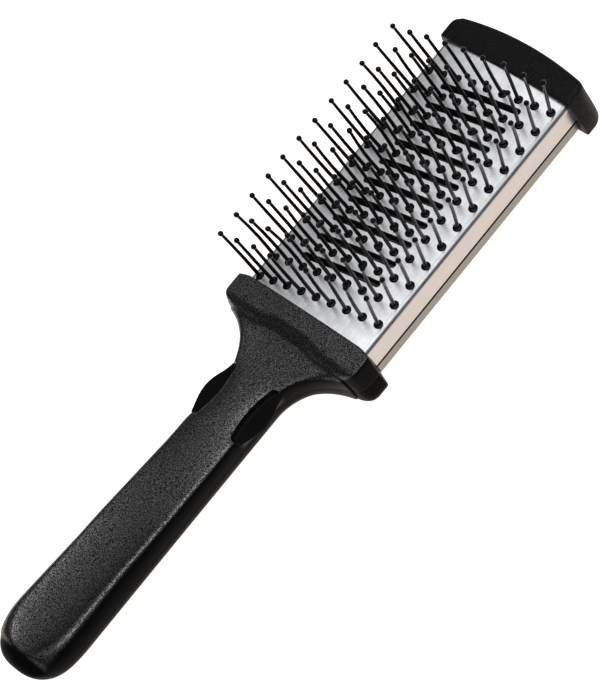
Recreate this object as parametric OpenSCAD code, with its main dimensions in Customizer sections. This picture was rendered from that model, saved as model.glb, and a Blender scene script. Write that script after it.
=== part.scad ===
// Paddle brush: a crowned metal plate full of ball-tipped pins, held between
// the wide collar of a two-shell handle and a moulded end cap.
// +Y runs from the butt of the handle to the end cap, +X is to the right with
// the handle nearest, and +Z is the way the pins point. The origin is on the
// plane that the brush rests on, in the middle of its length.
// All sizes are in millimetres.

/* [Overall] */
// Length from the butt of the handle to the far edge of the end cap
overall_len = 258; // [215:1:310]
// Depth of the head, from the back plate to the top of the crown
head_depth = 17; // [14:0.1:21]

/* [Pin field] */
// Distance between rows, along the brush
row_pitch = 8; // [6.6:0.1:9.6]
// Distance between columns, across the brush
col_pitch = 6; // [5:0.1:7.2]
// How far each column stands ahead of the one on its left
row_step = 0.97; // [0:0.01:1.2]
// From the collar to the middle of the first row
rear_margin = 5.8; // [4.8:0.1:8]
// From the middle of the last row to the end cap
front_margin = 8.2; // [6.8:0.1:10]
// From the outer column to the side of the head
side_margin = 3.3; // [3:0.1:5]

/* [Pins] */
// Height of the ball's centre above the plate, along the pin
pin_len = 23.3; // [19:0.1:28]
// Diameter of the pin where it leaves its boss
pin_root_d = 1.35; // [1.1:0.05:1.7]
// Diameter of the pin just under the ball
pin_tip_d = 1.05; // [0.85:0.05:1.3]
// Diameter of the ball tip
ball_d = 1.95; // [1.6:0.05:2.4]
// Diameter of the boss that fills the hole in the plate
boss_d = 3; // [2.5:0.1:3.4]
// Height of the boss above the plate
boss_rise = 0.35; // [0.2:0.05:0.6]
// Diameter of the flange under the plate
flange_d = 3.8; // [3.6:0.1:4.1]
// Thickness of the flange
flange_t = 0.8; // [0.6:0.05:1]
// How much more the pins lean outwards than the crown does
fan_ratio = 1.6; // [1:0.05:1.9]

/* [Plates] */
// Radius of the crown across the top plate
crown_r = 150; // [125:1:180]
// Thickness of the aluminium sheet
sheet_t = 1; // [0.8:0.05:1.2]
// Outside radius of the fold along the top plate's sides
fold_r = 2; // [1.6:0.1:2.4]
// Outside radius of the fold along the back plate's sides
back_fold_r = 2.5; // [2:0.1:3]
// Height of the back plate's sides
back_rise = 5.2; // [4.3:0.1:6.2]
// Open seam between the two plates' sides
seam_gap = 1; // [0.8:0.1:1.2]
// Width of a vent slot
slot_w = 2.4; // [2:0.1:2.8]
// Length of a vent slot over its round ends
slot_len = 31.8; // [26:0.1:38]

/* [Inside the head] */
// Depth of the pin bed's flat underside below the top of the crown
bed_depth = 5; // [4.6:0.1:6]
// Thickness of the carrier's walls and ribs
rib_t = 2; // [1.7:0.1:2.4]
// How far the plates and the carrier go into the collar and the cap
socket_depth = 6; // [5:0.1:7.2]
// Wall of the collar and the cap under the carrier
end_wall = 1.5; // [1.3:0.1:1.8]
// Width of the carrier's tongue
tongue_w = 16; // [13.4:0.1:19]
// Thickness of the carrier's tongue
tongue_t = 5; // [4:0.1:6]
// Length of the tongue past the end of the plates
tongue_len = 20; // [17:0.5:24]

/* [End cap] */
// Visible length of the cap on the middle line
cap_len = 11.4; // [10:0.1:13.6]
// How far the cap stands out past the plates at each side
cap_side = 3.7; // [3.1:0.1:4.4]
// How far the cap and the collar stand above the top plate
end_proud = 1; // [0.8:0.1:1.2]
// Radius of the cap's gently bowed far edge
cap_bow_r = 150; // [125:1:180]
// Radius of the cap's corners seen from above
cap_corner_r = 5; // [4:0.1:6]
// Radius of the cap's shoulders
cap_shoulder_r = 4; // [3.3:0.1:4.8]

/* [Collar] */
// Length of the collar along the brush
collar_len = 11.2; // [9.4:0.1:13.4]
// How far the collar stands out past the plates at each side
collar_side = 5.7; // [4.8:0.1:6.8]
// Radius that carries the neck out to the collar
flare_r = 20; // [17:0.5:21]

/* [Grip] */
// Width of the neck
neck_w = 21.4; // [19:0.1:28]
// Width of the grip at its widest, near the butt
butt_w = 29.6; // [25:0.1:35]
// Height of the grip above its parting line
grip_top = 6.2; // [5.2:0.1:7.4]
// Depth of the grip below its parting line
grip_bottom = 8.5; // [7.2:0.1:8.5]
// Height of the parting line at the collar
parting_z = 8.6; // [8.6:0.1:10]
// Rise of the grip towards the butt, in degrees
grip_tilt = 3.2; // [2:0.1:4]
// Length of the rounded butt end
butt_round = 18; // [15:0.5:21]
// Wall of the hollow grip
grip_wall = 2.2; // [1.8:0.1:2.6]
// Length of each finger scoop along its top edge
scoop_len = 22; // [18:0.5:26]
// Width of the flat left between the two scoops
scoop_land = 13; // [11:0.1:15]

/* [Fixings] */
// Thread diameter of the screws
screw_d = 2.2; // [1.8:0.1:2.6]
// Diameter of the screw heads
screw_head_d = 4; // [3.4:0.1:4.6]
// Height of the screw heads
screw_head_h = 1.5; // [1.2:0.1:1.8]
// Outside diameter of the screw bosses
boss_post_d = 6.4; // [5.6:0.1:7.6]

/* [Clearances] */
// Gap all round a piece that seats in another
fit_gap = 0.1; // [0.05:0.01:0.15]
// Gap round a screw or a pin in its hole
bore_gap = 0.1; // [0.05:0.01:0.15]

/* [Hidden] */
rows = 12;
cols = 9;
slots = 10;
mid_col = (cols + 1) / 2;

// The head, worked out from the pin field
head_half = (cols - 1) / 2 * col_pitch + side_margin;
plate_len = rear_margin + (rows - 1) * row_pitch + front_margin;
cap_y = overall_len / 2 - cap_len;      // where the cap begins
collar_y = cap_y - plate_len;           // where the collar begins
row_skew = atan(row_step / col_pitch);
fold_low = back_rise + seam_gap;        // lower edge of the top plate's sides

// Half widths of what nests inside the plates
inner_half = head_half - sheet_t - fit_gap;
carrier_top = head_depth - bed_depth - fit_gap;
carrier_low = sheet_t + fit_gap;
end_low = end_wall + fit_gap;           // underside of the carrier inside the sockets
tab_inset = 7;                          // from the head's side to the back plate's end tabs
tab_half = head_half - tab_inset;
seam_recess = 0.4;                      // how far the carrier's rib stands back in the side seam
cap_screw_inset = 4.5;
cap_screw_x = head_half - cap_screw_inset;
cap_screw_y = cap_y + socket_depth / 2;
cap_half = head_half + cap_side;

// Handle stations are distances from the collar's front face towards the butt
handle_len = overall_len - cap_len - plate_len;
collar_half = head_half + collar_side;
collar_rear_r = 3;
neck_half = neck_w / 2;
butt_half = butt_w / 2;
tongue_cover = 0.8;                     // how far the tongue lies below the carrier's top
tongue_z = carrier_top - tongue_cover - tongue_t / 2;
tongue_end = socket_depth + tongue_len;
tongue_screw = tongue_end - tongue_w / 2;
hollow_from = tongue_end + scoop_len;
hollow_to = handle_len - butt_round / 2;
scoop_mid = tongue_end + scoop_len / 2 - 1;
scoop_rest = 3.6;                       // height of the scoops' floor above the parting line
screw_stations = [tongue_screw, (hollow_from + hollow_to) / 2, hollow_to - boss_post_d];

// Screws and their holes
bore_d = screw_d + 2 * bore_gap;
head_room_d = screw_head_d + 2 * bore_gap;
head_seat = 2.4;                        // from the handle's underside up to the seat of a screw head
thread_clear = 0.5;                     // room past the end of a screw
cap_screw_cover = 3.8;                  // from the end of a cap screw to the carrier's top
countersink_h = 1.1;
countersink_sink = 0.1;                 // how far the cap's screw heads lie below its surface
cap_screw_len = carrier_top - cap_screw_cover - countersink_sink;

round_fn = 96;
fine_fn = 24;

function clamp01(t) = max(0, min(1, t));
function ease(t) = let (k = clamp01(t)) k * k * (3 - 2 * k);
function mix(a, b, t) = a + (b - a) * t;
function handle_y(d) = collar_y - d;

// Shape of the butt: a factor that falls from 1 to 0 over the last stretch
butt_power = 2.6;
butt_flat = 0.15;
function butt_fall(d) =
    let (k = clamp01((d - (handle_len - butt_round)) / butt_round))
    max(butt_flat, pow(1 - pow(k, butt_power), 1 / butt_power));

// Half width of the handle: collar with a rounded rear corner, flare, neck and grip
function flare_half(e) = neck_half + flare_r - sqrt(pow(flare_r, 2) - pow(flare_r - min(e, flare_r), 2));
function collar_edge(d) =
    let (k = clamp01((d - collar_len + collar_rear_r) / collar_rear_r))
    collar_half - collar_rear_r * (1 - sqrt(1 - k * k));
function grip_half(d) =
    mix(neck_half, butt_half, clamp01((d - hollow_from) / (handle_len - butt_round - hollow_from)));
function outer_half(d) =
    d < collar_len ? collar_edge(d)
    : d < collar_len + flare_r ? min(collar_half - collar_rear_r, flare_half(d - collar_len))
    : grip_half(d) * butt_fall(d);

// Parting line, top and underside of the handle
function axis_z(d) = parting_z + tan(grip_tilt) * max(0, d - collar_len);
function to_neck(d) = ease((d - collar_len + 2) / 3.5);
function top_z(d) = axis_z(d) + mix(head_depth + end_proud - parting_z, grip_top, to_neck(d)) * butt_fall(d);
function low_z(d) = axis_z(d) - mix(parting_z, grip_bottom, to_neck(d)) * butt_fall(d);
function top_power(d) = mix(9, 3, to_neck(d));
function low_power(d) = mix(9, 2.5, to_neck(d));

// Half a superellipse from +X over the top (or under the bottom) to -X
arc_steps = 18;
function half_ring(half, rise, power, bow) =
    [for (i = [0:arc_steps])
        let (a = 180 * i / arc_steps, c = cos(a), s = sin(a),
             x = half * sign(c) * pow(abs(c), 2 / power),
             z = rise * pow(abs(s), 2 / power))
        [x, z * (1 - bow * pow(x, 2) / (2 * crown_r * rise))]];

// Closed solid through rings of equal length that lie across the Y axis
module loft(stations, rings) {
    n = len(rings[0]);
    m = len(rings);
    points = [for (j = [0:m - 1]) for (p = rings[j]) [p[0], handle_y(stations[j]), p[1]]];
    walls = [for (j = [0:m - 2]) for (i = [0:n - 1])
        let (k = (i + 1) % n, a = j * n + i, b = j * n + k, c = (j + 1) * n + k, e = (j + 1) * n + i)
        each [[a, c, b], [a, e, c]]];
    polyhedron(points, concat(walls, [[for (i = [0:n - 1]) i]], [[for (i = [n - 1:-1:0]) (m - 1) * n + i]]));
}

// Extrudes a profile drawn across the brush, from one Y to another
module along_y(y0, y1) {
    translate([0, y1, 0]) rotate([90, 0, 0]) linear_extrude(height = y1 - y0) children();
}

// Section with a crowned top, rounded shoulders and a flat bottom at the height low
module crowned(half, r, apex, shoulder, low) {
    sx = half - shoulder;
    sz = apex - r + sqrt(pow(r - shoulder, 2) - pow(sx, 2));
    tx = sx * r / (r - shoulder);
    intersection() {
        translate([0, apex - r]) circle(r = r, $fn = 4 * round_fn);
        translate([-tx, low]) square([2 * tx, apex - low]);
    }
    for (s = [-1, 1]) translate([s * sx, sz]) circle(r = shoulder, $fn = round_fn);
    translate([-half, low]) square([2 * half, sz - low]);
}

// Section with rounded lower corners and open sides up to the height high
module trough(half, low, high, corner) {
    translate([-half + corner, low]) square([2 * (half - corner), high - low]);
    translate([-half, low + corner]) square([2 * half, high - low - corner]);
    for (s = [-1, 1]) translate([s * (half - corner), low + corner]) circle(r = corner, $fn = round_fn);
}

// Puts its children on the crown where a pin stands, leaning by gain times the crown's slope
module at_pin(row, col, gain) {
    off = col - mid_col;
    slope = off * col_pitch / crown_r * 180 / PI;
    translate([crown_r * sin(slope), collar_y + rear_margin + (row - 1) * row_pitch + off * row_step,
               head_depth - crown_r * (1 - cos(slope))])
        rotate([0, slope * gain, 0]) children();
}

module pin_grid() {
    for (row = [1:rows]) for (col = [1:cols]) at_pin(row, col, 1) children();
}

// Upright cutters for the vent slots, widened by extra all round
module slot_cutters(extra) {
    w = slot_w + 2 * extra;
    straight = slot_len - slot_w;
    for (i = [1:slots])
        translate([0, collar_y + rear_margin + (i + 0.5) * row_pitch, 0]) rotate([0, 0, row_skew]) {
            translate([-straight / 2, -w / 2, 0]) cube([straight, w, head_depth + 2]);
            for (s = [-1, 1]) translate([s * straight / 2, 0, 0]) cylinder(d = w, h = head_depth + 2, $fn = fine_fn);
        }
}

module top_plate() {
    color("#d3d6db") difference() {
        along_y(collar_y - socket_depth, cap_y + socket_depth) difference() {
            crowned(head_half, crown_r, head_depth, fold_r, fold_low);
            crowned(head_half - sheet_t, crown_r - sheet_t, head_depth - sheet_t, fold_r - sheet_t, 0);
        }
        pin_grid() translate([0, 0, -2 * sheet_t])
            cylinder(d = boss_d + 2 * bore_gap, h = 3 * sheet_t, $fn = fine_fn);
        intersection() {
            slot_cutters(0);
            translate([-head_half, collar_y, carrier_top]) cube([2 * head_half, plate_len, head_depth]);
        }
    }
}

module pin_bed() {
    seat = sheet_t + flange_t + 2 * fit_gap;
    inset = sheet_t + fit_gap;
    color("#17181a") difference() {
        along_y(collar_y - socket_depth, cap_y + socket_depth) intersection() {
            crowned(inner_half, crown_r - inset, head_depth - inset, fold_r - inset, 0);
            translate([-inner_half, head_depth - bed_depth]) square([2 * inner_half, bed_depth]);
        }
        pin_grid() translate([0, 0, -seat]) cylinder(d = flange_d + 2 * bore_gap, h = seat, $fn = fine_fn);
        slot_cutters(0);
    }
}

module pin(row, col) {
    flange_top = sheet_t + fit_gap;
    at_pin(row, col, 1) {
        translate([0, 0, -flange_top - flange_t]) cylinder(d = flange_d, h = flange_t, $fn = fine_fn);
        translate([0, 0, -flange_top - flange_t / 2])
            cylinder(d = boss_d, h = flange_top + flange_t / 2 + boss_rise, $fn = fine_fn);
    }
    at_pin(row, col, fan_ratio) {
        cylinder(d1 = pin_root_d, d2 = pin_tip_d, h = pin_len, $fn = fine_fn);
        translate([0, 0, pin_len]) sphere(d = ball_d, $fn = fine_fn);
    }
}

module pin_row(row) {
    color("#141416") for (col = [1:cols]) pin(row, col);
}

// The back plate's flat panel and folded sides lie flush between collar and cap;
// a stepped tab at each end tucks into the sockets.
module back_plate() {
    color("#c9cbd0") {
        along_y(collar_y + fit_gap, cap_y - fit_gap) difference() {
            trough(head_half, 0, back_rise, back_fold_r);
            trough(head_half - sheet_t, sheet_t, back_rise + 1, back_fold_r - sheet_t);
        }
        for (end = [0, 1]) mirror_at_end(end) {
            translate([-tab_half, fit_gap, sheet_t / 2]) cube([2 * tab_half, sheet_t, end_low + sheet_t / 2]);
            translate([-tab_half, 2 * fit_gap - socket_depth, end_low])
                cube([2 * tab_half, socket_depth + sheet_t, sheet_t]);
        }
    }
}

// Children drawn from the collar's front face forwards, or turned round to the cap's
module mirror_at_end(end) {
    if (end == 0) translate([0, collar_y, 0]) children();
    else translate([0, cap_y, 0]) mirror([0, 1, 0]) children();
}

module carrier() {
    tab_high = end_low + sheet_t + fit_gap;
    seam_rib_half = head_half - seam_recess;
    bore_roof = 1.5;
    pockets = 4;
    body_y0 = collar_y + fit_gap + rib_t;
    pocket_len = (plate_len - 2 * fit_gap - (pockets + 1) * rib_t) / pockets;
    color("#1d1e20") difference() {
        union() {
            translate([-inner_half, collar_y - socket_depth, carrier_low])
                cube([2 * inner_half, plate_len + 2 * socket_depth, carrier_top - carrier_low]);
            translate([-seam_rib_half, collar_y + fit_gap, back_rise + fit_gap])
                cube([2 * seam_rib_half, plate_len - 2 * fit_gap, seam_gap - 2 * fit_gap]);
            translate([-tongue_w / 2, collar_y - tongue_end, tongue_z - tongue_t / 2])
                cube([tongue_w, tongue_end, tongue_t]);
        }
        // Pockets between the cross ribs
        for (i = [0:pockets - 1])
            translate([-inner_half + rib_t, body_y0 + i * (pocket_len + rib_t), carrier_low - 1])
                cube([2 * (inner_half - rib_t), pocket_len, carrier_top - carrier_low + 2]);
        // Room for the folded corners of the back plate
        for (s = [-1, 1]) translate([s * inner_half, 0, carrier_low])
            rotate([0, 45, 0]) cube([back_fold_r, 2 * overall_len, back_fold_r], center = true);
        for (end = [0, 1]) mirror_at_end(end) {
            // Raised underside inside the socket, and a step for the back plate's tab
            translate([-head_half, -socket_depth - 1, 0]) cube([2 * head_half, socket_depth + 1 + fit_gap, end_low]);
            translate([-tab_half - fit_gap, -socket_depth - 1, 0])
                cube([2 * (tab_half + fit_gap), socket_depth + 1 + sheet_t + 2 * fit_gap, tab_high]);
        }
        for (s = [-1, 1]) translate([s * cap_screw_x, cap_screw_y, 0])
            cylinder(d = bore_d, h = carrier_top - bore_roof, $fn = fine_fn);
        translate([0, handle_y(tongue_screw), 0])
            cylinder(d = bore_d, h = head_depth, $fn = fine_fn);
    }
}

// Room inside the collar or the cap for the ends of the top plate, the bed and the carrier
module socket_section() {
    crowned(head_half + fit_gap, crown_r + fit_gap, head_depth + fit_gap, fold_r + fit_gap, end_wall);
}

module end_cap() {
    under_corner_r = 3;
    color("#1b1c1e") difference() {
        intersection() {
            along_y(cap_y, overall_len / 2) intersection() {
                crowned(cap_half, crown_r + end_proud, head_depth + end_proud, cap_shoulder_r, 0);
                trough(cap_half, 0, head_depth + 2 * end_proud, under_corner_r);
            }
            linear_extrude(height = head_depth + 2 * end_proud)
                crowned(cap_half, cap_bow_r, overall_len / 2, cap_corner_r, cap_y);
        }
        along_y(cap_y - 1, cap_y + socket_depth + fit_gap) socket_section();
        for (s = [-1, 1]) translate([s * cap_screw_x, cap_screw_y, 0]) {
            translate([0, 0, -bore_gap]) cylinder(d = head_room_d, h = countersink_sink + bore_gap, $fn = fine_fn);
            translate([0, 0, countersink_sink]) countersunk(head_room_d, bore_d, 2 * end_wall);
        }
    }
}

// A countersunk screw with its head down, and the room for it in the cap
module countersunk(d_head, d_shank, length) {
    cylinder(d1 = d_head, d2 = d_shank, h = countersink_h, $fn = fine_fn);
    cylinder(d = d_shank, h = length, $fn = fine_fn);
}

module cap_screws() {
    color("#2a2b2d") for (s = [-1, 1]) translate([s * cap_screw_x, cap_screw_y, countersink_sink])
        countersunk(screw_head_d, screw_d, cap_screw_len);
}

// Stations along the handle, closer together where its outline turns
neck_from = collar_len + flare_r;
grip_steps = 14;
stations = concat(
    [0, (collar_len - collar_rear_r) / 2],
    [for (a = [0:18:90]) collar_len - collar_rear_r + collar_rear_r * sin(a)],
    [for (a = [15:15:90]) collar_len + flare_r * (1 - cos(a))],
    [for (i = [1:grip_steps]) mix(neck_from, handle_len - butt_round, i / grip_steps)],
    [for (a = [15:15:90]) handle_len - butt_round + butt_round * sin(a)]);
hollow_steps = 10;
hollow_stations = [for (i = [0:hollow_steps]) mix(hollow_from, hollow_to, i / hollow_steps)];

// One half of the handle as a closed solid: side is 1 for the top and -1 for the underside.
// inset draws it that much smaller and carries it past the parting line, for the hollow.
module handle_half(side, ds, inset) {
    rings = [for (d = ds)
        let (rise = (side > 0 ? top_z(d) - axis_z(d) : axis_z(d) - low_z(d)) - inset,
             half = outer_half(d) - inset,
             arc = half_ring(half, rise, side > 0 ? top_power(d) : low_power(d), side > 0 ? 1 - to_neck(d) : 0),
             skirt = inset > 0 ? [[-half, -0.5], [half, -0.5]] : [],
             ring = [for (p = concat(arc, skirt)) [p[0], axis_z(d) + side * p[1]]])
        side > 0 ? ring : [for (i = [len(ring) - 1:-1:0]) ring[i]]];
    loft(ds, rings);
}

module handle_sockets() {
    along_y(collar_y - socket_depth - fit_gap, collar_y + 1) socket_section();
    translate([-tongue_w / 2 - fit_gap, handle_y(tongue_end + fit_gap), tongue_z - tongue_t / 2 - fit_gap])
        cube([tongue_w + 2 * fit_gap, tongue_end, tongue_t + 2 * fit_gap]);
}

function head_z(d) = low_z(d) + head_seat;
function post_low(d) = low_z(d) + grip_wall / 2;
function post_high(d) = top_z(d) - grip_wall / 2;

module handle_upper_shell() {
    scoop_cut = neck_half * 0.82 - scoop_land / 2;
    scoop_r = (pow(scoop_len / 2, 2) + pow(scoop_cut, 2)) / (2 * scoop_cut);
    scoop_lift = 7;
    color("#232427") difference() {
        union() {
            difference() {
                handle_half(1, stations, 0);
                handle_half(1, hollow_stations, grip_wall);
            }
            for (d = [screw_stations[1], screw_stations[2]]) translate([0, handle_y(d), axis_z(d) + fit_gap])
                cylinder(d = boss_post_d, h = post_high(d) - axis_z(d) - fit_gap, $fn = fine_fn);
        }
        handle_sockets();
        for (s = [-1, 1]) intersection() {
            translate([s * (scoop_land / 2 + scoop_r), handle_y(scoop_mid), top_z(scoop_mid) + scoop_lift])
                sphere(r = norm([scoop_r, scoop_lift]), $fn = round_fn);
            translate([-collar_half, handle_y(handle_len), axis_z(scoop_mid) + scoop_rest])
                cube([2 * collar_half, handle_len, head_depth]);
        }
        for (d = screw_stations) translate([0, handle_y(d), 0])
            cylinder(d = bore_d, h = post_high(d) - thread_clear, $fn = fine_fn);
    }
}

module handle_lower_shell() {
    color("#1c1d1f") difference() {
        union() {
            difference() {
                handle_half(-1, stations, 0);
                handle_half(-1, hollow_stations, grip_wall);
            }
            for (d = [screw_stations[1], screw_stations[2]]) translate([0, handle_y(d), post_low(d)])
                cylinder(d = boss_post_d, h = axis_z(d) - post_low(d) - fit_gap, $fn = fine_fn);
        }
        handle_sockets();
        for (d = screw_stations) translate([0, handle_y(d), 0]) {
            cylinder(d = bore_d, h = axis_z(d) + 1, $fn = fine_fn);
            translate([0, 0, -1]) cylinder(d = head_room_d, h = head_z(d) + 1, $fn = fine_fn);
        }
    }
}

module handle_screws() {
    color("#8d9095") for (d = screw_stations) translate([0, handle_y(d), 0]) {
        translate([0, 0, head_z(d) - screw_head_h]) cylinder(d = screw_head_d, h = screw_head_h, $fn = fine_fn);
        translate([0, 0, head_z(d) - screw_head_h / 2])
            cylinder(d = screw_d, h = post_high(d) - 2 * thread_clear - head_z(d) + screw_head_h / 2, $fn = fine_fn);
    }
}

handle_upper_shell();
handle_lower_shell();
handle_screws();
carrier();
top_plate();
pin_bed();
back_plate();
end_cap();
cap_screws();
pin_row(1);  // pin_row_01
pin_row(2);  // pin_row_02
pin_row(3);  // pin_row_03
pin_row(4);  // pin_row_04
pin_row(5);  // pin_row_05
pin_row(6);  // pin_row_06
pin_row(7);  // pin_row_07
pin_row(8);  // pin_row_08
pin_row(9);  // pin_row_09
pin_row(10);  // pin_row_10
pin_row(11);  // pin_row_11
pin_row(12);  // pin_row_12
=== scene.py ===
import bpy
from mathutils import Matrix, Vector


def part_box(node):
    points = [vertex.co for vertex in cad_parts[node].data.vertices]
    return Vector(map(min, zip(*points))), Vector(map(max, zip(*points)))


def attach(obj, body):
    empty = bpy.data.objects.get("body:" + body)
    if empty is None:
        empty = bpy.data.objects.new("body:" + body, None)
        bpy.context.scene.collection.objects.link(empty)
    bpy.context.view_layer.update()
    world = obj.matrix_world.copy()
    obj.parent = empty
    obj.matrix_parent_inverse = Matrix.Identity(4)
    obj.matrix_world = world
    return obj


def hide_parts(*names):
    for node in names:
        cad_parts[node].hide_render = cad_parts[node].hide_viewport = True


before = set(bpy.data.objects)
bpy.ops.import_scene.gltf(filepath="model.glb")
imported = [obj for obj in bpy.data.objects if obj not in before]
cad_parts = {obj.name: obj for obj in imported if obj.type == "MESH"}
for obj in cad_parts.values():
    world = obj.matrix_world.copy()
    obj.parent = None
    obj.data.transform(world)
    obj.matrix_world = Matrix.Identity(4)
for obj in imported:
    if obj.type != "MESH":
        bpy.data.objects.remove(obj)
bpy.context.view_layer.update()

import math

import bpy
import numpy as np
from mathutils import Matrix

# ---------------------------------------------------------------------------
# Carrier and pin bed. Two dark nylon mouldings inside the head: the ribbed
# carrier joins both plates to the handle, and the bed clamps the pins' flanges.
# They show only in the slots and as the thin rib in the side seam.
# ---------------------------------------------------------------------------
MM = 0.001


def srgb(code):
    """Linear colour of an sRGB hex value: each channel by the standard curve."""
    c = np.array([int(code[i:i + 2], 16) for i in (0, 2, 4)]) / 255
    c = np.where(c <= 0.04045, c / 12.92, ((c + 0.055) / 1.055) ** 2.4)
    return (*c.tolist(), 1.0)


def add(tree, kind, settings, inputs):
    """Adds a node, sets its fields, and fills each input with a value or a link."""
    made = tree.nodes.new("ShaderNode" + kind)
    for field, value in settings.items():
        setattr(made, field, value)
    for key, value in inputs.items():
        if isinstance(value, bpy.types.NodeSocket):
            tree.links.new(value, made.inputs[key])
        else:
            made.inputs[key].default_value = value
    return made


def new_material(name):
    """An empty node material, its tree, and the Object coordinates of the piece that wears it."""
    material = bpy.data.materials.new(name)
    material.use_nodes = True
    tree = material.node_tree
    tree.nodes.clear()
    return material, tree, add(tree, "TexCoord", {}, {}).outputs["Object"]


def wear(material, *pieces):
    """Gives each piece this material and no other."""
    for piece in pieces:
        piece.data.materials.clear()
        piece.data.materials.append(material)


# Glass-filled nylon, moulded: a dull near-black with a faint grey mottle from
# the glass fibres, about 0.8 mm across.
fibre_mottle = 0.8 * MM
filled_nylon, t, where = new_material("glass_filled_nylon")
mottle = add(t, "TexNoise", {}, {"Vector": where, "Scale": 1 / fibre_mottle, "Detail": 3.0})
shade = add(t, "Mix", {"data_type": "RGBA"}, {0: mottle.outputs["Fac"], 6: srgb("101112"), 7: srgb("232426")})
dull = add(t, "MapRange", {}, {"Value": mottle.outputs["Fac"], "To Min": 0.42, "To Max": 0.62})
skin = add(t, "Bump", {}, {"Strength": 0.3, "Distance": 0.02 * MM, "Height": mottle.outputs["Fac"]})
nylon = add(t, "BsdfPrincipled", {}, {
    "Base Color": shade.outputs[2], "Roughness": dull.outputs["Result"], "IOR": 1.53,
    "Normal": skin.outputs["Normal"]})
add(t, "OutputMaterial", {}, {"Surface": nylon.outputs["BSDF"]})
wear(filled_nylon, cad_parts["carrier"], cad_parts["pin_bed"])

# ---------------------------------------------------------------------------
# Top plate. One sheet of aluminium, 1 mm thick, blanked with the pin holes and
# ten slanted vent slots, rolled to a low crown and folded down along both
# sides. It is brushed and clear anodised.
# ---------------------------------------------------------------------------
# Brushed aluminium, clear anodised: a cool pale metal, streaked along the
# brush where it was linished, with a soft cloudy mottle some 3 mm across.
# The real brush lines are finer than the eye sees here, so they are drawn
# 0.25 mm wide and 12 mm long. The bend is painted a darker grey band, a
# painted reflection of the dark room, and the folded sides are painted a
# warmer, darker grey, a painted reflection of the table.
brush_line, brush_run, cloud = 0.25 * MM, 12 * MM, 3 * MM
brushed_aluminium, t, where = new_material("brushed_aluminium")
stretch = add(t, "Mapping", {}, {"Vector": where, "Scale": (1 / brush_line, 1 / brush_run, 1 / brush_line)})
lines = add(t, "TexNoise", {}, {"Vector": stretch.outputs["Vector"], "Scale": 1.0, "Detail": 2.0})
clouds = add(t, "TexNoise", {}, {"Vector": where, "Scale": 1 / cloud, "Detail": 4.0, "Roughness": 0.6})
both = add(t, "Mix", {"data_type": "FLOAT"}, {0: 0.6, 2: lines.outputs["Fac"], 3: clouds.outputs["Fac"]})
spread = add(t, "MapRange", {}, {"Value": both.outputs[0], "From Min": 0.35, "From Max": 0.65})
shade = add(t, "Mix", {"data_type": "RGBA"}, {0: spread.outputs["Result"], 6: srgb("d2d4d8"), 7: srgb("f3f4f6")})
bend_from, bend_to, side_from, side_to = 25.1 * MM, 26.1 * MM, 26.7 * MM, 27.25 * MM
across = add(t, "Math", {"operation": "ABSOLUTE"}, {0: add(t, "SeparateXYZ", {}, {"Vector": where}).outputs["X"]})
folded = add(t, "MapRange", {}, {"Value": across.outputs["Value"], "From Min": side_from, "From Max": side_to})
painted_bend_shade = add(t, "MapRange", {"interpolation_type": "SMOOTHSTEP"}, {
    "Value": across.outputs["Value"], "From Min": bend_from, "From Max": bend_to})
# Painted reflection: across the bend the colour is darkened to a grey band that stands for the dark room the bend
# reflects.
shade = add(t, "Mix", {"data_type": "RGBA"}, {0: painted_bend_shade.outputs["Result"], 6: shade.outputs[2], 7: srgb("8d8e92")})
# Painted reflection: the folded sides are painted a warmer, darker grey that stands for the warm table they reflect,
# varied by the brush lines.
painted_side_tint = add(t, "Mix", {"data_type": "RGBA"}, {0: lines.outputs["Fac"], 6: srgb("aea9a5"), 7: srgb("bdb8b4")})
shade = add(t, "Mix", {"data_type": "RGBA"}, {0: folded.outputs["Result"], 6: shade.outputs[2], 7: painted_side_tint.outputs[2]})
dull = add(t, "MapRange", {}, {
    "Value": both.outputs[0], "From Min": 0.35, "From Max": 0.65, "To Min": 0.36, "To Max": 0.26})
skin = add(t, "Bump", {}, {"Strength": 0.2, "Distance": 0.004 * MM, "Height": lines.outputs["Fac"]})
metal = add(t, "BsdfPrincipled", {}, {
    "Base Color": shade.outputs[2], "Metallic": 1.0, "Roughness": dull.outputs["Result"],
    "Normal": skin.outputs["Normal"]})
add(t, "OutputMaterial", {}, {"Surface": metal.outputs["BSDF"]})
wear(brushed_aluminium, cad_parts["top_plate"])

# ---------------------------------------------------------------------------
# Pins. 12 rows of 9 nylon pins, each moulded with a round boss that fills its
# hole and a ball tip, pushed up through the plate from below. They fan out
# sideways, and no two stand quite alike after moulding.
# ---------------------------------------------------------------------------
plate_low, plate_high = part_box("top_plate")
socket_depth = 6 * MM
collar_y = plate_low.y + socket_depth
cap_y = plate_high.y - socket_depth
crown_top = plate_high.z
crown_r = 150 * MM
rows, columns = 12, 9
row_pitch, column_pitch, row_step, rear_margin = 8 * MM, 6 * MM, 0.97 * MM, 5.8 * MM
pin_height, fan = 23.3 * MM, 1.6
slight_lean, slight_bow = 0.011, 0.25 * MM


def grid_mesh(name, points, wrap):
    """A smooth mesh on a grid of points shaped (..., rows, columns, 3).

    Each cell of the grid is a four-sided face. wrap joins the last column back to
    the first. Rows that shrink to a point close a pole. Leading axes are copies."""
    sheets = points.reshape(-1, *points.shape[-3:])
    copies, m, n, _ = sheets.shape
    i, j = np.meshgrid(np.arange(m - 1), np.arange(n if wrap else n - 1), indexing="ij")
    k = (j + 1) % n
    cell = np.stack([i * n + j, i * n + k, (i + 1) * n + k, (i + 1) * n + j], -1).reshape(-1, 4)
    faces = (cell[None] + (np.arange(copies) * m * n)[:, None, None]).reshape(-1, 4)
    mesh = bpy.data.meshes.new(name)
    mesh.from_pydata(sheets.reshape(-1, 3), [], faces)
    mesh.polygons.foreach_set("use_smooth", np.ones(len(faces), bool))
    piece = bpy.data.objects.new(name, mesh)
    bpy.context.scene.collection.objects.link(piece)
    return piece


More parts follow.
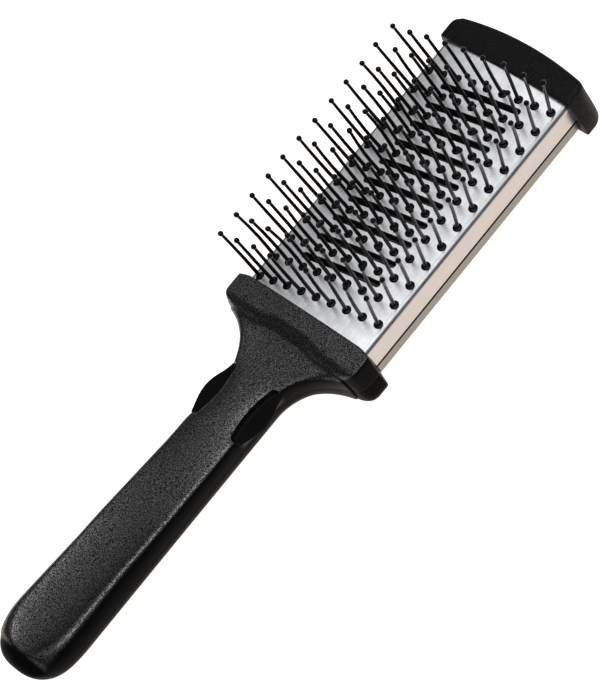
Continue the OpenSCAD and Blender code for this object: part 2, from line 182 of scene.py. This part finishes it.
def pin_profile():
    """Height and radius of a pin from under the plate to the end of its ball.

    The boss is a low button with a rounded rim, a small fillet carries it to a
    shaft that tapers evenly, and the ball is a circle's arc from shaft to pole."""
    root_r, taper, ball_r, ball_at = 0.675, 0.15, 0.975, 23.3
    boss = [(-0.9, 0.0), (-0.9, 1.5), (0.12, 1.5), (0.29, 1.42), (0.37, 1.2), (0.38, 0.95), (0.5, 0.76), (0.9, 0.67)]
    shaft = [(h, root_r - taper * h / ball_at) for h in (5.0, 11.0, 17.0, 22.2)]
    turn = np.radians(np.linspace(-52, 90, 8))
    ball = [(ball_at + ball_r * math.sin(a), ball_r * math.cos(a)) for a in turn]
    return np.array(boss + shaft + ball).T * MM


def pins_of_row(row, rng):
    """The nine pins of a row as grids of rings.

    A pin starts on the crown, where its angle is the arc length over the crown's
    radius. Its line leans outwards by that angle times a factor that grows from 1
    to the fan over the first millimetre, plus a slight lean and bow of its own."""
    height, radius = pin_profile()
    offset = np.arange(columns) - (columns - 1) / 2
    slope = offset * column_pitch / crown_r
    foot = np.stack([crown_r * np.sin(slope), collar_y + rear_margin + row * row_pitch + offset * row_step,
                     crown_top - crown_r * (1 - np.cos(slope))], -1)
    settle = np.clip(height / MM, 0, 1)
    lean_x = slope[:, None] * (1 + (fan - 1) * settle) + rng.normal(0, slight_lean, (columns, 1)) * settle
    lean_y = rng.normal(0, slight_lean, (columns, 1)) * settle
    along = np.stack([np.sin(lean_x), np.sin(lean_y), np.cos(lean_x) * np.cos(lean_y)], -1)
    across = np.stack([np.cos(lean_x), 0 * lean_x, -np.sin(lean_x)], -1)
    side = np.cross(along, across)
    arch = settle * height / pin_height * (1 - height / pin_height)
    bow = rng.normal(0, slight_bow, (columns, 1, 2)) * arch[:, None] * 4
    centre = foot[:, None] + height[:, None] * along
    centre[..., :2] += bow
    turn = np.arange(10) * math.tau / 10
    ring = across[..., None, :] * np.cos(turn)[:, None] + side[..., None, :] * np.sin(turn)[:, None]
    return centre[..., None, :] + ring * radius[:, None, None]


# Nylon, moulded and polished: glossy black, so each ball carries one small
# sharp highlight and the shafts a thin bright line.
glossy_nylon, t, where = new_material("glossy_nylon")
flow = add(t, "TexNoise", {}, {"Vector": where, "Scale": 1 / (1.2 * MM), "Detail": 2.0})
shade = add(t, "Mix", {"data_type": "RGBA"}, {0: flow.outputs["Fac"], 6: srgb("040405"), 7: srgb("0c0c0d")})
dull = add(t, "MapRange", {}, {"Value": flow.outputs["Fac"], "To Min": 0.12, "To Max": 0.22})
nylon = add(t, "BsdfPrincipled", {}, {
    "Base Color": shade.outputs[2], "Roughness": dull.outputs["Result"], "IOR": 1.53, "Specular IOR Level": 0.1})
add(t, "OutputMaterial", {}, {"Surface": nylon.outputs["BSDF"]})

moulding = np.random.default_rng(12)
for row in range(rows):
    pins = grid_mesh(f"pins_row_{row + 1:02d}", pins_of_row(row, moulding), wrap=True)
    wear(glossy_nylon, pins)
    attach(pins, "root")
    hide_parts(f"pin_row_{row + 1:02d}")

# ---------------------------------------------------------------------------
# Back plate. A second aluminium sheet, flat, with its long edges folded up to
# meet the top plate's over a narrow seam. Stepped tabs at its ends are held
# by the collar and the cap.
# ---------------------------------------------------------------------------
# Satin aluminium, clear anodised: the same sheet with a finer brushing. Its
# narrow sides are painted a darker, warm grey as a painted reflection of the
# shaded table beneath it. Brush lines are drawn 0.25 mm wide and 20 mm long.
satin_line, satin_run = 0.25 * MM, 20 * MM
shaded_satin_aluminium, t, where = new_material("shaded_satin_aluminium")
stretch = add(t, "Mapping", {}, {"Vector": where, "Scale": (1 / satin_line, 1 / satin_run, 1 / satin_line)})
lines = add(t, "TexNoise", {}, {"Vector": stretch.outputs["Vector"], "Scale": 1.0, "Detail": 2.0})
# Painted shade: the base colour is darkened to stand for the shaded table that the narrow sides reflect.
shade = add(t, "Mix", {"data_type": "RGBA"}, {0: lines.outputs["Fac"], 6: srgb("76726d"), 7: srgb("918d87")})
dull = add(t, "MapRange", {}, {"Value": lines.outputs["Fac"], "To Min": 0.3, "To Max": 0.42})
metal = add(t, "BsdfPrincipled", {}, {
    "Base Color": shade.outputs[2], "Metallic": 1.0, "Roughness": dull.outputs["Result"]})
add(t, "OutputMaterial", {}, {"Surface": metal.outputs["BSDF"]})
wear(shaded_satin_aluminium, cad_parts["back_plate"])

# ---------------------------------------------------------------------------
# End cap. A black plastic moulding pushed over the ends of both plates, with a
# gently bowed far edge and soft corners. Two small countersunk screws in its
# underside hold it to the carrier.
# ---------------------------------------------------------------------------
_, cap_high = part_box("end_cap")
cap_shoulder, cap_corner, cap_bow, proud_r = 2.6 * MM, 5 * MM, 150 * MM, 340 * MM
cap_drop, cap_power, cap_foot, cap_edge = 12 * MM, 1.25, 1.1 * MM, 1.3 * MM


def band(half, top, bottom, bow_r, shoulder, drop, power, corner):
    """One section across the brush as a closed ring of (x, z), from the top's middle over +X.

    The top is a circle's arc of radius bow_r, the shoulder is a quarter superellipse,
    straighter as its power nears 1, the lower corner is a quarter circle, the rest is
    straight, and -X mirrors +X."""
    q = np.linspace(0, math.pi / 2, 17)
    over, down = np.sin(q) ** (2 / power), 1 - np.cos(q) ** (2 / power)
    x = np.concatenate([np.linspace(0, 1, 12)[:-1] * (half - shoulder), half - shoulder + shoulder * over])
    z = top - x ** 2 / (2 * bow_r) - np.concatenate([np.zeros(11), drop * down])
    q = np.linspace(0, math.pi / 2, 9)
    x = np.concatenate([x, half - corner * (1 - np.cos(q)), np.linspace(1, 0, 10)[1:] * (half - corner)])
    z = np.concatenate([z, bottom + corner * (1 - np.sin(q)), np.full(9, bottom)])
    ring = np.stack([x, z], -1)
    return np.concatenate([ring, ring[-2:0:-1] * (-1, 1)])


def cap_rings():
    """Rings of the cap from the pole of its far face, round its edge, to its mouth and socket.

    Each ring is the outer section pulled in by an inset. Over the far edge the inset
    and the depth follow a quarter circle whose radius grows from the top and bottom
    to the corners in plan. The far face is an arc in plan, and the socket is the
    plates' own section. Each ring is turned the way that makes the faces point out."""
    outer = band(cap_high.x, cap_high.z, 0, proud_r, cap_shoulder, cap_drop, cap_power, cap_foot)
    middle = np.array([0, cap_high.z / 2])
    radial = outer - middle
    sideways = np.clip((np.abs(outer[:, 0]) / cap_high.x - 0.82) / 0.18, 0, 1)
    edge = (cap_edge + (cap_corner - cap_edge) * sideways ** 2 * (3 - 2 * sideways))[:, None]
    normal = np.stack([sideways ** 0.5, 1 - sideways], -1) * -np.sign(radial)
    normal /= np.linalg.norm(normal, axis=1, keepdims=True)

    def far(x):
        return cap_high.y - x ** 2 / (2 * cap_bow)

    rings = []
    face = outer + normal * edge
    for share in (0, 0.25, 0.5, 0.75, 0.92):
        flat = middle + (face - middle) * share
        rings.append(np.stack([flat[:, 0], far(flat[:, 0]), flat[:, 1]], -1))
    for a in np.radians((90, 75, 60, 45, 30, 15, 0)):
        flat = outer + normal * edge * (1 - math.cos(a))
        rings.append(np.stack([flat[:, 0], far(flat[:, 0]) - edge[:, 0] * (1 - math.sin(a)), flat[:, 1]], -1))
    for deep, inset in ((3, 0), (0.35, 0), (0.1, 0.1), (0, 0.35)):
        flat = outer + normal * inset * MM
        rings.append(np.stack([flat[:, 0], np.full(len(flat), cap_y + deep * MM), flat[:, 1]], -1))
    socket = band(plate_high.x, crown_top, 1.5 * MM, crown_r, 2 * MM, 2 * MM, 2, 1 * MM)
    for deep in (0, socket_depth):
        rings.append(np.stack([socket[:, 0], np.full(len(socket), cap_y + deep), socket[:, 1]], -1))
    rings.append(np.tile([0, cap_y + socket_depth, crown_top / 2], (len(socket), 1)))
    return np.array(rings)[:, ::-1]


# ABS, moulded in a spark-eroded tool: near-black with a fine even grain that
# breaks every reflection into a faint sparkle. The real grain is some 0.1 mm
# across, and it is drawn 0.3 mm wide so that it shows.
cap_grain = 0.3 * MM
cap_abs, t, where = new_material("spark_grained_abs")
grit = add(t, "TexNoise", {}, {"Vector": where, "Scale": 1 / cap_grain, "Detail": 2.0, "Roughness": 0.6})
shade = add(t, "Mix", {"data_type": "RGBA"}, {0: grit.outputs["Fac"], 6: srgb("030303"), 7: srgb("141414")})
dull = add(t, "MapRange", {}, {"Value": grit.outputs["Fac"], "To Min": 0.4, "To Max": 0.6})
glint = add(t, "MapRange", {}, {
    "Value": grit.outputs["Fac"], "From Min": 0.4, "From Max": 0.7, "To Min": 0.03, "To Max": 0.2})
skin = add(t, "Bump", {}, {"Strength": 0.8, "Distance": 0.08 * MM, "Height": grit.outputs["Fac"]})
abs_plastic = add(t, "BsdfPrincipled", {}, {
    "Base Color": shade.outputs[2], "Roughness": dull.outputs["Result"], "IOR": 1.54,
    "Specular IOR Level": glint.outputs["Result"], "Normal": skin.outputs["Normal"]})
add(t, "OutputMaterial", {}, {"Surface": abs_plastic.outputs["BSDF"]})

cap = grid_mesh("end_cap_moulding", cap_rings(), wrap=True)
wear(cap_abs, cap)
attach(cap, "root")
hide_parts("end_cap")

# Steel, blackened: the screws' dark oily oxide, a little uneven.
blackened_steel, t, where = new_material("blackened_steel")
oxide = add(t, "TexNoise", {}, {"Vector": where, "Scale": 1 / (0.6 * MM), "Detail": 3.0})
shade = add(t, "Mix", {"data_type": "RGBA"}, {0: oxide.outputs["Fac"], 6: srgb("1b1b1d"), 7: srgb("3a3a3c")})
dull = add(t, "MapRange", {}, {"Value": oxide.outputs["Fac"], "To Min": 0.3, "To Max": 0.5})
steel = add(t, "BsdfPrincipled", {}, {
    "Base Color": shade.outputs[2], "Metallic": 1.0, "Roughness": dull.outputs["Result"]})
add(t, "OutputMaterial", {}, {"Surface": steel.outputs["BSDF"]})
wear(blackened_steel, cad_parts["cap_screws"])

# ---------------------------------------------------------------------------
# Handle, lower shell. The underside of the handle from its wide collar to the
# butt, moulded in ABS with a smooth satin skin. It takes three screws from
# below, and its rim meets the shell above along a fine parting line.
# ---------------------------------------------------------------------------
handle_low, handle_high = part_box("handle_upper_shell")
handle_len = collar_y - handle_low.y
collar_half, collar_len, collar_rear, flare_len, neck_half = handle_high.x, 11.2 * MM, 5 * MM, 20 * MM, 10.7 * MM
parting_z, grip_tilt, butt_round, butt_power = 8.6 * MM, math.radians(3.2), 18 * MM, 2.6
grip_depth, grip_swell, collar_slope, collar_sweep = 8.5 * MM, 3.95 * MM, 1.1 * MM, 2.6 * MM
parting_gap = 0.03 * MM


def ease(x, start, end):
    """0 before start, 1 after end, and the smooth cubic 3t2 - 2t3 between them."""
    k = np.clip((x - start) / (end - start), 0, 1)
    return k * k * (3 - 2 * k)


def oval_end(d, reach, power):
    """1 along the handle, falling to 0 at the butt over reach as a superellipse does."""
    k = np.clip((d - handle_len + reach) / reach, 0, 1)
    return (1 - k ** power) ** (1 / power)


def half_width(d):
    """Half width of the handle at a distance d behind the collar's face.

    The collar has a rounded rear corner, a quarter oval flares it into the neck, the
    grip widens evenly, and the butt is a superellipse."""
    corner = np.clip((d - collar_len + collar_rear) / collar_rear, 0, 1)
    collar = collar_half - collar_rear * (1 - np.sqrt(1 - corner ** 2))
    e = 1 - np.clip((d - collar_len) / flare_len, 0, 1)
    flare = neck_half + 23.3 * MM * (1 - np.sqrt(1 - e ** 2))
    grip = neck_half + grip_swell * np.clip((d - 30 * MM) / (96 * MM), 0, 1) ** 1.05
    behind = np.minimum(collar_half - collar_rear, np.maximum(flare, grip))
    return np.where(d < collar_len, collar, behind) * oval_end(d, butt_round, butt_power)


def parting(d):
    """Height of the line where the shells meet: level in the collar, then rising to the butt."""
    return parting_z + math.tan(grip_tilt) * np.clip(d - collar_len, 0, None)


def narrowed(d):
    """How far the collar's ends slope in from their widest up to the parting line."""
    return collar_slope * (1 - ease(d, 8 * MM, 14 * MM))


# Stations along the handle in mm, dense at the collar's edges, in the flare, at
# the ends of the scoops and at the butt, and rounded to a thousandth
flare_from, flare_run, butt_from, butt_run = 11.2, 20, 126.6, 18
stations = np.unique(np.round(np.concatenate([
    (0, 0.12, 0.35), np.linspace(0.35, 6, 7), np.linspace(6, 13, 36),
    flare_from + flare_run * (1 - np.cos(np.linspace(0.42, 1.5, 26))),
    np.linspace(24.4, 26.8, 9), np.linspace(26.8, 46, 40), np.linspace(46, 48.4, 9), np.linspace(48.4, butt_from, 48),
    butt_from + butt_run * np.sin(np.linspace(0, math.pi / 2, 26)) ** (2 / butt_power)]), 3)) * MM


def shell(name, half, side, socket):
    """A closed shell from its half sections, which run from the middle line out to the parting.

    Each section is mirrored into a ring, and the rings follow the stations. The first
    is drawn in by 0.35 mm to soften the collar's face, whose ends are swept back. A
    socket is sunk into that face, and both ends close on a point."""
    half = half.copy()
    for i, inset in ((0, 0.35 * MM), (1, 0.1 * MM)):
        half[i, :, 0] *= 1 - inset / collar_half
        half[i, :, 1] -= side * inset * ease(np.arange(half.shape[1]), half.shape[1] - 3, 0)
    rings = np.concatenate([half, half[:, :0:-1] * (-1, 1)], 1)
    swept = collar_sweep * (np.clip(np.abs(rings[..., 0]) - 25 * MM, 0, None) / (8 * MM)) ** 1.5
    y = collar_y - stations[:, None] - swept * np.clip(1 - stations[:, None] / (7 * MM), 0, 1)
    rings = np.stack([rings[..., 0], y, rings[..., 1]], -1)
    mouth = np.concatenate([socket, socket[:0:-1] * (-1, 1)])
    middle = np.array([0, socket[:, 1].mean()])
    front = [np.stack([ring[:, 0], np.full(len(ring), collar_y - deep), ring[:, 1]], -1)
             for ring, deep in ((np.tile(middle, (len(mouth), 1)), socket_depth), (mouth, socket_depth), (mouth, 0))]
    points = np.concatenate([np.array(front), rings])
    return grid_mesh(name, points[:, ::-side], wrap=True)


def lower_half():
    """Half sections of the lower shell: a flat run, then a quarter superellipse up to the parting.

    In the collar the sides slope in evenly towards the parting."""
    d = stations[:, None]
    wide, join, neck = half_width(d), parting(d), ease(d, 8.5 * MM, 20 * MM)
    depth = (parting_z + (grip_depth - parting_z) * neck) * oval_end(d, 11 * MM, 2.1)
    flat = (wide - 3 * MM) * (1 - neck) + 0.3 * wide * neck
    power = 3 - 0.7 * neck
    u = np.linspace(0, 1, 12)[None, :-1]
    q = np.append(np.linspace(0, math.pi / 2 - 0.012, 21), math.pi / 2)[None]
    x = np.concatenate([flat * u, flat + (wide - flat) * np.sin(q) ** (2 / power)], 1)
    z = np.concatenate([join - depth + 0 * u, join - depth * np.cos(q) ** (2 / power)], 1)
    x -= narrowed(d) * np.clip((z - 3 * MM) / (5.6 * MM), 0, 1)
    z[:, -1:] -= parting_gap * oval_end(d, 1 * MM, 2)
    edge = np.stack([np.maximum(x[:, -1] - 0.05 * MM, 0), join[:, 0]], -1)[:, None]
    return np.concatenate([np.stack([x, z], -1), edge], 1)


def lower_socket():
    """The lower half of the recess that takes the plates and the carrier."""
    q = np.linspace(0, math.pi / 2, 22)
    x = np.concatenate([np.linspace(0, 1, 12)[:-1] * 26.3 * MM, 26.3 * MM + 1.1 * MM * np.sin(q), [27.3 * MM]])
    z = np.concatenate([np.full(11, 1.5 * MM), 1.5 * MM + 7 * MM * (1 - np.cos(q)), [8.55 * MM]])
    return np.stack([x, z], -1)


# ABS, moulded in a polished-back tool: a satin near-black that takes only a
# weak broad sheen, with the very faint flow marks of the moulding, 6 mm long.
satin_abs, t, where = new_material("satin_abs")
flow = add(t, "TexNoise", {}, {"Vector": where, "Scale": 1 / (6 * MM), "Detail": 4.0})
grit = add(t, "TexNoise", {}, {"Vector": where, "Scale": 1 / (0.4 * MM), "Detail": 1.0})
shade = add(t, "Mix", {"data_type": "RGBA"}, {0: flow.outputs["Fac"], 6: srgb("040404"), 7: srgb("090909")})
dull = add(t, "MapRange", {}, {"Value": flow.outputs["Fac"], "To Min": 0.34, "To Max": 0.46})
skin = add(t, "Bump", {}, {"Strength": 0.2, "Distance": 0.02 * MM, "Height": grit.outputs["Fac"]})
abs_plastic = add(t, "BsdfPrincipled", {}, {
    "Base Color": shade.outputs[2], "Roughness": dull.outputs["Result"], "IOR": 1.54,
    "Specular IOR Level": 0.02, "Normal": skin.outputs["Normal"]})
add(t, "OutputMaterial", {}, {"Surface": abs_plastic.outputs["BSDF"]})

lower = shell("handle_lower_moulding", lower_half(), -1, lower_socket())
wear(satin_abs, lower)
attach(lower, "root")
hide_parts("handle_lower_shell")

# ---------------------------------------------------------------------------
# Handle, upper shell. The same moulding above the parting line. Its top face
# is spark-grained and ends in a soft rim, steps up to the collar, is scooped
# at both sides for finger and thumb, and is dished towards the butt.
# ---------------------------------------------------------------------------
# Distances behind the collar's face, and there the face's half width, the height
# of its rim and of its middle above the parting, and the flank's fullness
face_at = np.array([0, 8, 9.2, 10, 10.7, 11.4, 12.9, 14, 16, 19, 22, 24, 25.5, 49, 58, 76, 90, 114, 150]) * MM
face_half = np.array([
    29.6, 29.6, 28.8, 26.8, 23.5, 20.2, 16, 14.6, 13.4, 12.2, 11, 10.2, 9.7, 9.3, 9.1, 9.2, 9.5, 9.8, 9.8]) * MM
rim_at = np.array([10, 12, 14, 19, 24, 29, 36, 44, 49, 58, 76, 100, 122, 150]) * MM
rim_rise = np.array([6.6, 6.4, 6.2, 5.9, 5.6, 5.0, 4.3, 4.7, 5.4, 5.2, 5.3, 5.6, 5.7, 5.8]) * MM
middle_at = np.array([10, 13, 17, 21, 26, 31, 38, 50, 60, 70, 90, 122, 150]) * MM
middle_rise = np.array([7.0, 6.3, 5.9, 5.9, 6.4, 6.8, 6.9, 6.7, 6.2, 5.5, 4.4, 4.1, 4.3]) * MM
full_at, fullness = np.array([25, 50, 80, 100]) * MM, np.array([1.5, 1.3, 0.85, 0.5])
scoop_from, scoop_to, scoop_soft, ledge_rise = 25.6 * MM, 47.4 * MM, 0.9 * MM, 4 * MM
scoop_mid, scoop_reach, scoop_edge, scoop_bite = 37 * MM, 10.5 * MM, 8.5 * MM, 1.6 * MM
lip_mid, lip_reach, lip_out = 36.5 * MM, 11.2 * MM, 3.4 * MM


def step(d, x):
    """1 on the collar's top and 0 behind it: the foot of its step lies further back at its ends."""
    behind = d - 1.7 * MM * ease(np.abs(x), 6 * MM, 15 * MM)
    return 1 - ease(behind, 5.8 * MM, 11 * MM)


def upper_half():
    """Half sections of the upper shell, and how much grain each of their points has.

    The face runs from the middle to its rim as a parabola, crowned in the neck and
    dished in the grip. A curve falls from there to the parting: a rational quadratic
    Bezier whose middle point is where the face's tangent meets the side, and whose
    middle weight, the fullness, makes the shoulder squarer. Between the ends of a
    scoop the rim moves in along an arc, and a wall, a ledge and a lip follow it.
    The grain covers the face and stops where the flank tilts past 35 to 45 degrees."""
    d = stations[:, None]
    wide, join, butt = half_width(d) - narrowed(d), parting(d), oval_end(d, 15 * MM, 1.9)
    scooped = ease(d, scoop_from, scoop_from + scoop_soft) * (1 - ease(d, scoop_to - scoop_soft, scoop_to))
    bend = 1 - ((d - scoop_mid) / scoop_reach) ** 2
    face = np.interp(d, face_at, face_half) * oval_end(d + 5.2 * MM, 14 * MM, 2)
    rim = face + (scoop_edge - scoop_bite * bend - face) * scooped
    collar_top = crown_top + 1 * MM - parting_z
    behind_rim = np.interp(d, rim_at, rim_rise) * butt
    dish = (behind_rim - np.interp(d, middle_at, middle_rise) * butt) * ease(face, 0, 8 * MM)
    behind_middle = behind_rim - dish

    def rise(x):
        """Height of the face above the parting, carried on past the rim."""
        parabola = behind_middle + (behind_rim - behind_middle) * (x / np.maximum(face, 0.1 * MM)) ** 2
        crown = collar_top - x ** 2 / (2 * proud_r)
        share = step(d, x)
        return parabola + (crown - parabola) * share

    u = np.linspace(0, 1, 26)[None, :-1]
    t = np.append(np.linspace(0, 1, 25) ** 1.4 * 0.985, 1)[None]
    top_x = rim * u
    top_z = rise(top_x)
    fall = rise(rim)
    nudge = np.minimum(0.05 * MM, rim / 4)
    slope = (fall - rise(rim - nudge)) / np.maximum(nudge, 1e-7) * (rim > 0.2 * MM)
    reach = (wide - rim) * (1 - 0.6 * step(d, rim))
    turn_x, turn_z = rim + reach, fall + np.clip(slope, -0.6, 0.3) * reach
    pull = 2 * t * (1 - t) * np.interp(d, full_at, fullness)
    total = (1 - t) ** 2 + pull + t ** 2
    side_x = (rim * (1 - t) ** 2 + turn_x * pull + wide * t ** 2) / total
    side_z = (fall * (1 - t) ** 2 + turn_z * pull) / total
    lip = wide + lip_out * np.cos(np.clip((d - lip_mid) / lip_reach, -1, 1) * math.pi / 2) ** 1.3
    path = np.linspace(0, 1, 26)[None]
    foot = np.minimum(rim + 0.8 * MM, lip - 1 * MM)
    wall = rim + (foot - rim) * np.clip(path / 0.3, 0, 1) ** 2
    ledge = foot + (lip - foot) * np.sin(np.clip((path - 0.3) / 0.4, 0, 1) * math.pi / 2)
    under = lip + (wide - lip) * ease(path, 0.7, 1)
    cut_x = np.where(path < 0.3, wall, np.where(path < 0.7, ledge, under))
    sag = 0.3 * MM
    down = (fall - ledge_rise) * ease(path, 0, 0.34) ** 0.8 + sag * np.clip((path - 0.3) / 0.3, 0, 1)
    cut_z = fall - down - (ledge_rise - sag) * np.clip((path - 0.62) / 0.38, 0, 1) ** 1.5
    side_x += (cut_x - side_x) * scooped
    side_z += (cut_z - side_z) * scooped
    x, z = np.concatenate([top_x, side_x], 1), join + np.concatenate([top_z, side_z], 1)
    z[:, -1:] += parting_gap * oval_end(d, 1 * MM, 2)
    edge = np.stack([np.maximum(x[:, -1] - 0.05 * MM, 0), join[:, 0]], -1)[:, None]
    tilt = np.arctan2(-np.gradient(side_z, axis=1), np.gradient(side_x, axis=1))
    fade = np.clip((0.8 - tilt) / 0.2, 0, 1) * (1 - scooped)
    closing = ease(face, 0, 3 * MM)
    grain = np.concatenate([closing + 0 * top_x, fade * closing, 0 * d], 1)
    return np.concatenate([np.stack([x, z], -1), edge], 1), grain


def upper_socket():
    """The upper half of the recess, with the plate's own crown and fold."""
    u, q = np.linspace(0, 1, 26)[:-1], np.linspace(0, math.pi / 2, 26)
    x = np.concatenate([25.4 * MM * u, 25.4 * MM + 2 * MM * np.sin(q), [27.3 * MM]])
    z = crown_top + 0.1 * MM - x ** 2 / (2 * crown_r)
    z[25:-1] -= 6 * MM * (1 - np.cos(q))
    z[-1] = 8.65 * MM
    return np.stack([x, z], -1)


# ABS, moulded in a spark-eroded tool: the grained top breaks the light into a
# fine sparkle, and its sides run out to the same satin skin as below. The grain
# is real, but the light grey of its specks is painted sparkle, a painted
# highlight on near-black. The real grain is about 0.15 mm, drawn 0.38 mm wide.
grain_size = 0.38 * MM
grained_abs, t, where = new_material("spark_grained_abs_handle")
mask = add(t, "Attribute", {"attribute_name": "grain"}, {})
grit = add(t, "TexNoise", {}, {"Vector": where, "Scale": 1 / grain_size, "Detail": 2.0, "Roughness": 0.65})
coarse = add(t, "TexNoise", {}, {"Vector": where, "Scale": 1 / (5 * MM), "Detail": 3.0})
grain_speck_sparkle = add(t, "MapRange", {"interpolation_type": "SMOOTHSTEP"}, {
    "Value": grit.outputs["Fac"], "From Min": 0.38, "From Max": 0.7})
grain_speck_sparkle = add(t, "Math", {"operation": "MULTIPLY"}, {0: grain_speck_sparkle.outputs["Result"], 1: mask.outputs["Fac"]})
base = add(t, "Mix", {"data_type": "RGBA"}, {0: coarse.outputs["Fac"], 6: srgb("050505"), 7: srgb("0b0b0c")})
# Painted highlight: the grain's specks are lightened to grey in the colour as painted sparkle, on top of their real
# bump and specular glint.
shade = add(t, "Mix", {"data_type": "RGBA"}, {0: grain_speck_sparkle.outputs["Value"], 6: base.outputs[2], 7: srgb("1c1d1e")})
dull = add(t, "MapRange", {}, {"Value": grain_speck_sparkle.outputs["Value"], "To Min": 0.34, "To Max": 0.28})
height = add(t, "Math", {"operation": "MULTIPLY"}, {0: grit.outputs["Fac"], 1: mask.outputs["Fac"]})
skin = add(t, "Bump", {}, {"Strength": 0.6, "Distance": 0.06 * MM, "Height": height.outputs["Value"]})
shine = add(t, "MapRange", {}, {"Value": grain_speck_sparkle.outputs["Value"], "To Min": 0.03, "To Max": 1.25})
abs_plastic = add(t, "BsdfPrincipled", {}, {
    "Base Color": shade.outputs[2], "Roughness": dull.outputs["Result"], "IOR": 1.54,
    "Specular IOR Level": shine.outputs["Result"], "Normal": skin.outputs["Normal"]})
add(t, "OutputMaterial", {}, {"Surface": abs_plastic.outputs["BSDF"]})

sections, grain = upper_half()
upper = shell("handle_upper_moulding", sections, 1, upper_socket())
grain = np.concatenate([grain, grain[:, :0:-1]], 1)
grain = np.concatenate([np.zeros((3, grain.shape[1])), grain])[:, ::-1]
upper.data.attributes.new("grain", "FLOAT", "POINT").data.foreach_set("value", grain.astype(np.float32).ravel())
wear(grained_abs, upper)
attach(upper, "root")
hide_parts("handle_upper_shell")

# ---------------------------------------------------------------------------
# Handle screws. Three steel pan-head screws, driven from below through the
# lower shell into posts in the upper one, deep in round wells.
# ---------------------------------------------------------------------------
# Steel, zinc plated: bright and slightly cloudy where the plating varies.
zinc_steel, t, where = new_material("zinc_plated_steel")
plating = add(t, "TexNoise", {}, {"Vector": where, "Scale": 1 / (0.5 * MM), "Detail": 3.0})
shade = add(t, "Mix", {"data_type": "RGBA"}, {0: plating.outputs["Fac"], 6: srgb("85888c"), 7: srgb("b9bcc0")})
dull = add(t, "MapRange", {}, {"Value": plating.outputs["Fac"], "To Min": 0.2, "To Max": 0.42})
steel = add(t, "BsdfPrincipled", {}, {
    "Base Color": shade.outputs[2], "Metallic": 1.0, "Roughness": dull.outputs["Result"]})
add(t, "OutputMaterial", {}, {"Surface": steel.outputs["BSDF"]})
wear(zinc_steel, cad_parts["handle_screws"])

# ---------------------------------------------------------------------------
# Studio. A white table lit from within, a broad soft light overhead that fades
# to a dim band round the horizon, and the camera high at the brush's right.
# ---------------------------------------------------------------------------
table, t, where = new_material("white_table")
paper = add(t, "TexNoise", {}, {"Vector": where, "Scale": 1 / (20 * MM), "Detail": 2.0})
shade = add(t, "Mix", {"data_type": "RGBA"}, {0: paper.outputs["Fac"], 6: srgb("bcb9b6"), 7: srgb("c2bfbc")})
white = add(t, "BsdfPrincipled", {}, {
    "Base Color": shade.outputs[2], "Roughness": 0.9, "Specular IOR Level": 0.0,
    "Emission Color": srgb("fff6f0"), "Emission Strength": 1.08})
add(t, "OutputMaterial", {}, {"Surface": white.outputs["BSDF"]})
edge = np.linspace(-1.5, 1.5, 9)
floor = grid_mesh("floor", np.stack(np.broadcast_arrays(edge[None, :], edge[:, None], 0.0), -1), wrap=False)
wear(table, floor)

world = bpy.data.worlds.new("studio")
world.use_nodes = True
sky = world.node_tree
sky.nodes.clear()
toward = add(sky, "TexCoord", {}, {}).outputs["Generated"]
upward = add(sky, "VectorMath", {"operation": "DOT_PRODUCT"}, {0: toward, 1: (-0.05, 0.36, 0.93)}).outputs["Value"]
glow = add(sky, "ValToRGB", {}, {"Fac": upward})
stops = ((0.0, 0.7), (0.02, 0.04), (0.4, 0.08), (0.55, 0.26), (0.68, 0.5), (0.8, 0.8), (0.92, 1.0))
while len(glow.color_ramp.elements) < len(stops):
    glow.color_ramp.elements.new(0.5)
for stop, (place, level) in zip(glow.color_ramp.elements, stops):
    stop.position, stop.color = place, (level, level, level * 1.01, 1.0)
light = add(sky, "Background", {}, {"Color": glow.outputs["Color"], "Strength": 1.05})
add(sky, "OutputWorld", {}, {"Surface": light.outputs["Background"]})
bpy.context.scene.world = world
bpy.context.scene.view_settings.view_transform = "Standard"

panel = bpy.data.lights.new("overhead panel", "AREA")
panel.shape, panel.size, panel.energy = "DISK", 0.7, 4.5
overhead = bpy.data.objects.new("overhead panel", panel)
overhead.location = (0.26, 0.1, 1.18)
overhead.rotation_euler = (-math.atan2(0.1, 1.18), math.atan2(0.26, 1.18), 0)
bpy.context.scene.collection.objects.link(overhead)

aim = np.array([3.3, 5.5, 10]) * MM
azimuth, elevation, roll, distance = math.radians(76.39), math.radians(54.16), math.radians(39.59), 902.4 * MM
ahead = -np.array([
    math.sin(azimuth) * math.cos(elevation), -math.cos(azimuth) * math.cos(elevation), math.sin(elevation)])
level = np.cross(ahead, (0, 0, 1))
level /= np.linalg.norm(level)
upright = np.cross(level, ahead)
right = math.cos(roll) * level - math.sin(roll) * upright
up = math.cos(roll) * upright + math.sin(roll) * level
lens = bpy.data.cameras.new("camera")
lens.lens, lens.sensor_width, lens.clip_start, lens.clip_end = 145.7, 36, 0.05, 20
camera = bpy.data.objects.new("camera", lens)
pose = np.eye(4)
pose[:3] = np.stack([right, up, -ahead, aim - ahead * distance], 1)
camera.matrix_world = Matrix(pose.tolist())
bpy.context.scene.collection.objects.link(camera)
bpy.context.scene.camera = camera
